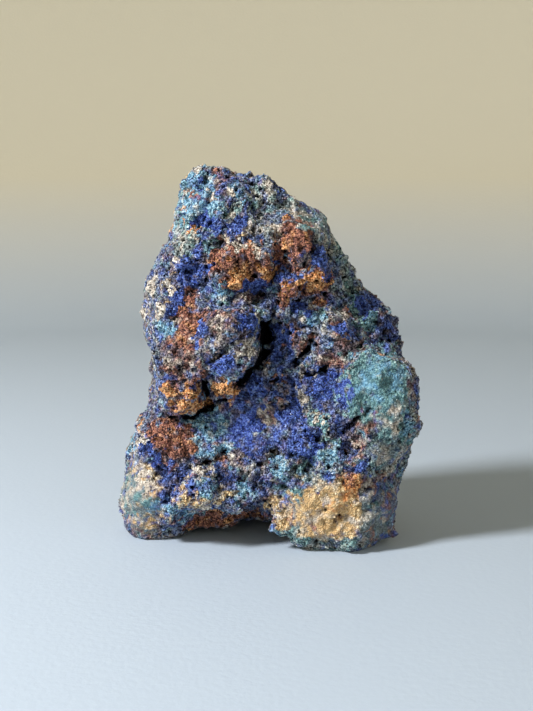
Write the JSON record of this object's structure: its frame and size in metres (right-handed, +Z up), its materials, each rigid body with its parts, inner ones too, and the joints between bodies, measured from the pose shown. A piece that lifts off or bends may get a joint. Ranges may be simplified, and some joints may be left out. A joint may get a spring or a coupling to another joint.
{
  "type": "azurite specimen",
  "caption": "Upright rough mineral lump of blue azurite crust with green malachite and rusty patches, standing on its own broken base.",
  "frame": {"origin": "middle of the rock's bounding box, at the level of the surface that it stands on", "axes": "+Z up through the peak, -Y out of the broad crusted face, +X towards the green lobe on the right of that face"},
  "size_m": [0.0508, 0.032, 0.0618],
  "materials": {
    "azurite_crust": "matt, rough and grainy",
    "azurite_crystals": "small glassy crystals",
    "malachite_grains": "matt, velvety",
    "iron_oxide_grains": "matt, earthy",
    "pale_grains": "glassy to waxy"
  },
  "bodies": {
    "root": {"azurite_rock": "azurite_crust"}
  },
  "joints": []
}
